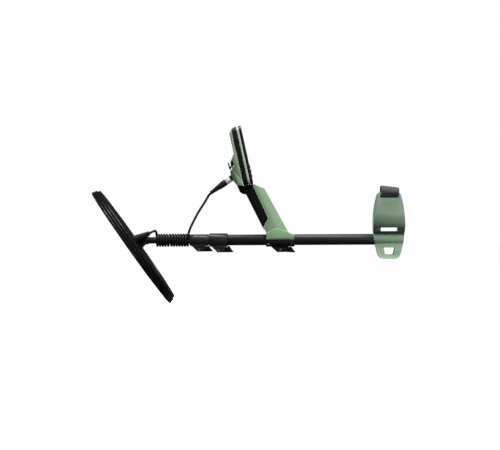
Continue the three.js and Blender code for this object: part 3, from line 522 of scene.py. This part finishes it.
# half of the strap's line, as (y, z), from its sewn end round the cuff's top bar to the middle of the arch
STRAP_HALF = [
    (-31, 132.6), (-39.5, 129), (-44, 121), (-44.6, 113), (-46, 109.6), (-48.6, 108.8), (-52, 111.4),
    (-55.6, 116.6), (-57.4, 121.5), (-56.2, 126.2), *SEWN_PLACES, (-29, 136), (-15, 136.4), (0, 136.5),
]
STITCH = {"length": 2.4 * MM, "pitch": 3.42 * MM, "radius": 0.35 * MM, "each_side": 6, "rings": 5, "sides": 6}


def skewed(place):
    """A place on the strap, moved down towards the rear as it nears the arch."""
    share = min(max((place.z - STRAP_SKEW["from"]) / (STRAP_SKEW["to"] - STRAP_SKEW["from"]), 0), 1)
    return place + Vector((STRAP_SKEW["shift"], 0, STRAP_SKEW["slope"] * (place.x - ARM_MIDDLE))) * share


def strap_line():
    """The strap's line across the arm, from one sewn end to the other."""
    half = [Vector((0, y, z)) * MM for y, z in STRAP_HALF]
    far = [Vector((0, -p.y, p.z)) for p in reversed(half[:-1])]
    return smooth_line(half + far, TIGHT_STEPS)


def strap_points(line):
    """The strap's two faces, outer then inner, row by row, and where each point is on the flat cloth."""
    verts, flat = [], []
    rows = list(zip(line, directions(line), distances(line)))
    for face in (1, -1):
        for place, ahead, along in rows:
            out = Vector((1, 0, 0)).cross(ahead)
            for k in range(STRAP["across"] + 1):
                share = 2 * k / STRAP["across"] - 1
                thick = (1 - STRAP["thinning"] * share**8) * STRAP["thick"]
                wave = STRAP_WAVE["lift"] * math.sin(along * STRAP_WAVE["waves"]) * share
                across = Vector((ARM_MIDDLE + share * STRAP["width"] / 2, 0, 0))
                verts.append(skewed(across + place + out * (face * thick / 2 + wave)))
                flat.append((share * STRAP["width"] / 2, along, 0))
    return verts, flat


def strap_faces(rows):
    """Outer and inner faces, the two long edges and the two ends."""
    columns = STRAP["across"] + 1
    inner = rows * columns
    faces = []
    for i in range(rows - 1):
        for k in range(columns - 1):
            a, b = i * columns + k, (i + 1) * columns + k
            faces.append((a, b, b + 1, a + 1))
            faces.append((inner + a + 1, inner + b + 1, inner + b, inner + a))
        for k, turn in ((0, 1), (columns - 1, -1)):
            a, b = i * columns + k, (i + 1) * columns + k
            faces.append((a, inner + a, inner + b, b)[::turn])
    for k in range(columns - 1):
        last = (rows - 1) * columns + k
        faces.append((k, k + 1, inner + k + 1, inner + k))
        faces.append((last + 1, last, inner + last, inner + last + 1))
    return faces


def make_strap():
    """A band of webbing: a loop round each of the cuff's top bars, sewn under the arch over the forearm."""
    line = strap_line()
    verts, flat = strap_points(line)
    strap = mesh_piece("forearm_strap", verts, strap_faces(len(line)))
    attribute = strap.data.attributes.new("flat", "FLOAT_VECTOR", "POINT")
    attribute.data.foreach_set("vector", [value for place in flat for value in place])
    dress(strap, "webbing")
    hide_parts("arm_strap")
    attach(strap, "upper_shaft")
    make_stitches(line)


def stitch_points(middle, out, ahead):
    """One stitch: a short thread along X, round in section and drawn in at both ends."""
    verts = []
    for ring in range(STITCH["rings"]):
        share = 2 * ring / (STITCH["rings"] - 1) - 1
        size = STITCH["radius"] * math.sqrt(max(1 - share * share, 0.08))
        for k in range(STITCH["sides"]):
            turn = 2 * math.pi * k / STITCH["sides"]
            spoke = out * math.cos(turn) + ahead * math.sin(turn)
            verts.append(middle + Vector((share * STITCH["length"] / 2, 0, 0)) + size * spoke)
    return verts


def make_stitches(line):
    """Two rows of thread across the strap above each top bar, where the ends are sewn under the arch."""
    verts, faces = [], []
    for y, z in SEWN_PLACES + [(-y, z) for y, z in reversed(SEWN_PLACES)]:
        sewn = Vector((0, y, z)) * MM
        row = min(range(len(line)), key=lambda i: (line[i] - sewn).length)
        ahead = (line[row + 1] - line[row - 1]).normalized()
        out = Vector((1, 0, 0)).cross(ahead)
        for i in range(-STITCH["each_side"], STITCH["each_side"] + 1):
            across = Vector((ARM_MIDDLE + i * STITCH["pitch"], 0, 0))
            middle = skewed(across + line[row]) + out * (STRAP["thick"] / 2)
            faces.extend(tube_faces(STITCH["rings"], STITCH["sides"], len(verts)))
            verts.extend(stitch_points(middle, out, ahead))
    stitches = mesh_piece("strap_stitches", verts, faces)
    dress(stitches, "webbing")
    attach(stitches, "upper_shaft")
    return stitches


make_strap()


# ------------------------------------------------------------------ turned pieces
# profiles of (along, radius) points in millimetres, along the piece's axis
NUT_PROFILE = [
    (1.5, 6.2), (1.5, 7.5), (1.9, 8.0), (2.6, 8.1), (3.1, 7.7), (3.3, 8.2),
    (12.5, 8.2), (12.7, 7.7), (13.3, 7.9), (13.9, 7.6), (14.2, 7.1), (14.2, 6.0),
]
NUT_FLUTES = {"count": 28, "depth": 0.45, "from": 3.2, "to": 12.6}
SCREW_PROFILE = [
    (-10, 1.9), (11, 1.9), (11.1, 3.3), (12.4, 3.4), (12.9, 3.0),
    (13, 2.5), (13, 1.6), (12.9, 1.5), (11.8, 1.5), (11.7, 1.3),
]
KEY_SOCKET = 1.6  # the screw's hexagon socket is everything within this radius


def lathe(name, profile, axis, at, sides, shape):
    """A profile turned round an axis, where shape gives the radius at each turn and place along."""
    basis = axis.to_track_quat("Z", "Y").to_matrix()
    verts = []
    for along, radius in profile:
        for k in range(sides):
            turn = 2 * math.pi * k / sides
            r = shape(turn, along, radius)
            verts.append(at + basis @ Vector((r * math.cos(turn), r * math.sin(turn), along)) * MM)
    return mesh_piece(name, verts, tube_faces(len(profile), sides))


def fluted(turn, along, radius):
    """The nut's radius: cut by flutes between its two plain rims."""
    if not NUT_FLUTES["from"] < along < NUT_FLUTES["to"]:
        return radius
    return radius - NUT_FLUTES["depth"] * (0.5 + 0.5 * math.cos(NUT_FLUTES["count"] * turn))


def hexagon_socket(turn, along, radius):
    """The screw's radius: a hexagon inside its socket, and round outside it."""
    if radius > KEY_SOCKET:
        return radius
    return radius / math.cos((turn + math.pi / 6) % (math.pi / 3) - math.pi / 6)


def stand_in(piece, node, look):
    """A hand-made piece that takes the place of a CAD node on the handle."""
    dress(piece, look)
    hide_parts(node)
    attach(piece, "handle")
    return piece


def make_plug_nut():
    """The silver nut of the plug: a fluted grip between two plain rims."""
    axis = Vector((-math.cos(PLUG_RISE), 0, -math.sin(PLUG_RISE)))
    nut = lathe("plug_nut_fluted", NUT_PROFILE, axis, SOCKET, NUT_FLUTES["count"] * 6, fluted)
    return stand_in(nut, "plug_nut", "bright_metal")


def make_screws():
    """Pan-head screws with a hexagon socket, in the handle clamp's underside."""
    for i, (x, y) in enumerate(CLAMP_SCREWS, start=1):
        at = Vector((x, y, 0)) * MM
        screw = lathe(f"clamp_screw_head_{i}", SCREW_PROFILE, Vector((0, 0, -1)), at, 36, hexagon_socket)
        stand_in(screw, f"clamp_screw_{i}", "steel")


plug_nut = make_plug_nut()
make_screws()

# ------------------------------------------------------------------ CAD nodes that stay, with rounded edges
# the width of a node's rounded edges in millimetres, where it isn't the usual one
EDGE = {
    "arm_cuff": 0.9, "handle_body": 1.2, "handle_head": 0.9, "handle_grip": 0.7, "handle_clamp": 0.9,
    "pod_back": 0.8, "coil_upper_shell": 0.8, "coil_lower_shell": 0.4, "skid_plate": 0.6,
    "upper_clamp": 0.6, "middle_clamp": 0.6, "upper_clamp_lever": 0.6, "middle_clamp_lever": 0.6,
    "handle_clamp_lever": 0.6, "yoke": 0.6, "port_cover": 0.4,
}
USUAL_EDGE = 0.25
# nodes with a look of their own, which differs from the rest of their kind; the pod, its head and the handle
# body take darker copies of the green plastic, painted shade
LOOK_OF = {
    "upper_clamp": "clamp_plastic", "middle_clamp": "clamp_plastic",
    "handle_grip": "grip_rubber", "handle_body": "handle_green_painted_shade",
    "handle_head": "pod_green_painted_shade", "pod_back": "pod_green_painted_shade",
    "coil_upper_shell": "coil_plastic", "coil_lower_shell": "coil_plastic", "skid_plate": "coil_plastic",
    "upper_tube": "upper_tube", "middle_tube": "middle_tube", "lower_tube": "lower_tube",
}


def soften(node, width):
    """Smooth shading and narrow rounded edges on a CAD node, by modifiers only."""
    weld = node.modifiers.new("weld", "WELD")
    weld.merge_threshold = 1e-6
    flat = node.modifiers.new("flat", "DECIMATE")
    flat.decimate_type = "DISSOLVE"
    flat.angle_limit = math.radians(1)
    bevel = node.modifiers.new("bevel", "BEVEL")
    bevel.width = width * MM
    bevel.segments = 2
    bevel.limit_method = "ANGLE"
    bevel.angle_limit = math.radians(28)
    bevel.harden_normals = True
    for polygon in node.data.polygons:
        polygon.use_smooth = True


def dress_nodes():
    for name, node in frame["nodes"].items():
        dress(node, LOOK_OF.get(name, SLOT_OF[name]))
        soften(node, EDGE.get(name, USUAL_EDGE))


dress_nodes()


# ------------------------------------------------------------------ the cable's look
def declare_cables():
    for name, (piece, line, lay) in cables.items():
        dress(piece, "cable")


declare_cables()


# ------------------------------------------------------------------ floor and light
def make_stage():
    """A pale floor just under the coil, out to the horizon."""
    far, gap = 30, 2 * MM
    low, high = cad_box
    corners = [(-far, -far, 0), (far, -far, 0), (far, far, 0), (-far, far, 0)]
    floor = mesh_piece("floor", corners, [(0, 1, 2, 3)], smooth=False)
    floor.location = ((low[0] + high[0]) / 2, 0, low[2] - gap)
    look = Look("floor", Specular_IOR_Level=0.1)
    look.shader.inputs["Base Color"].default_value = (0.9, 0.9, 0.9, 1)
    look.shader.inputs["Roughness"].default_value = 0.9
    look.shader.inputs["Emission Color"].default_value = (1, 1, 1, 1)
    look.shader.inputs["Emission Strength"].default_value = 0.95
    floor.data.materials.append(look.material)
    floor.visible_glossy = False
    floor.visible_diffuse = False


def area_light(name, place, size, power, aim=(-0.4, 0, 0.05), glossy=True):
    """A soft rectangular light turned towards the detector, which shiny faces mirror only if it is glossy."""
    data = bpy.data.lights.new(name, "AREA")
    data.shape = "RECTANGLE"
    data.size, data.size_y = size
    data.energy = power
    light = bpy.data.objects.new(name, data)
    bpy.context.scene.collection.objects.link(light)
    light.location = place
    light.visible_glossy = glossy
    light.rotation_euler = (Vector(aim) - Vector(place)).to_track_quat("-Z", "Y").to_euler()


def make_light():
    """A pale surround that lights little, and four soft lights."""
    world = bpy.data.worlds.new("world")
    world.use_nodes = True
    tree = world.node_tree
    seen = add(tree, "ShaderNodeLightPath").outputs["Is Camera Ray"]
    tree.links.new(remap(tree, seen, 0, 1, 0.05, 1.0), tree.nodes["Background"].inputs["Strength"])
    tree.nodes["Background"].inputs["Color"].default_value = (1, 1, 1, 1)
    bpy.context.scene.world = world
    area_light("key", (0.1, -2.3, 2.1), (1.6, 1.0), 100, glossy=False)
    area_light("fill", (1.6, -2.6, 0.6), (1.2, 1.2), 9)
    area_light("top", (-0.4, -0.3, 2.4), (2.4, 0.5), 78)
    area_light("back", (0.4, 2.6, 1.6), (1.6, 1.0), 45, glossy=False)


make_stage()
make_light()
bpy.context.scene.view_settings.view_transform = "Standard"
